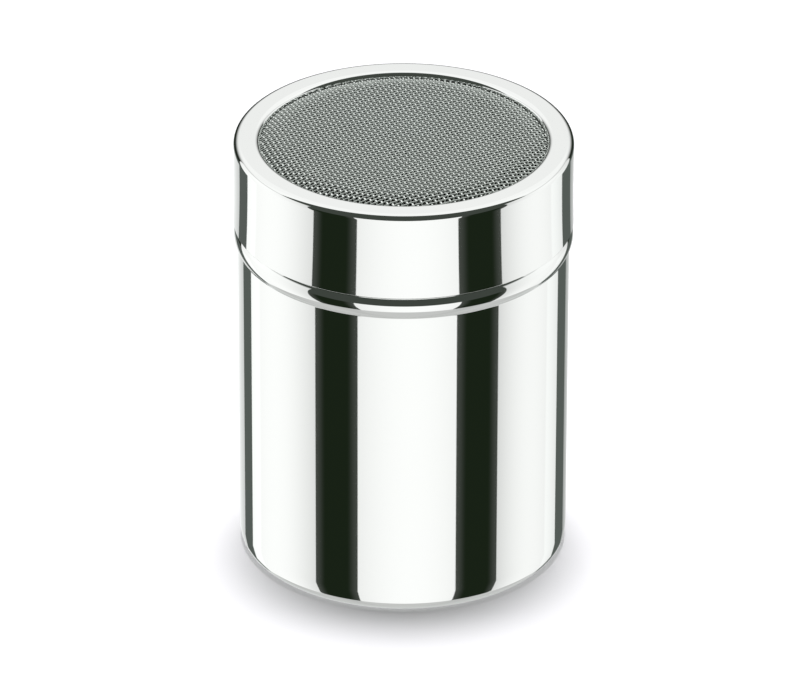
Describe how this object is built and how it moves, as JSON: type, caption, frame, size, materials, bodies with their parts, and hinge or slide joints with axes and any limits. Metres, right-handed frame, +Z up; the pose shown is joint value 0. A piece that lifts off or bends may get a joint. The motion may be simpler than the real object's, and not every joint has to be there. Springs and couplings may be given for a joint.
{
  "type": "mesh-top shaker",
  "caption": "Polished steel cylindrical cup with a pull-off cap whose domed woven-wire screen dusts sugar, cocoa or ground spice.",
  "frame": {"origin": "centre of the flat ring that the cup stands on, on the table", "axes": "+Z up along the axis of the cup and cap, out through the screen; +Y points away from the picture's viewer and +X to the viewer's right"},
  "size_m": [0.0702, 0.0702, 0.0933],
  "materials": {
    "polished_steel": "mirror-polished stainless steel sheet",
    "wire_cloth": "plain-weave stainless steel wire cloth, bright drawn wire",
    "inner_steel": "unpolished stainless steel strip, as rolled"
  },
  "bodies": {
    "cup_body": {"cup": "polished_steel"},
    "cap_body": {"cap_shell": "polished_steel", "mesh_screen": "wire_cloth", "mesh_ring": "inner_steel"}
  },
  "joints": [
    {"name": "cap_lift", "type": "slide", "parent": "cup_body", "child": "cap_body", "axis": [0, 0, 1], "range_m": [0, 0.025]}
  ]
}
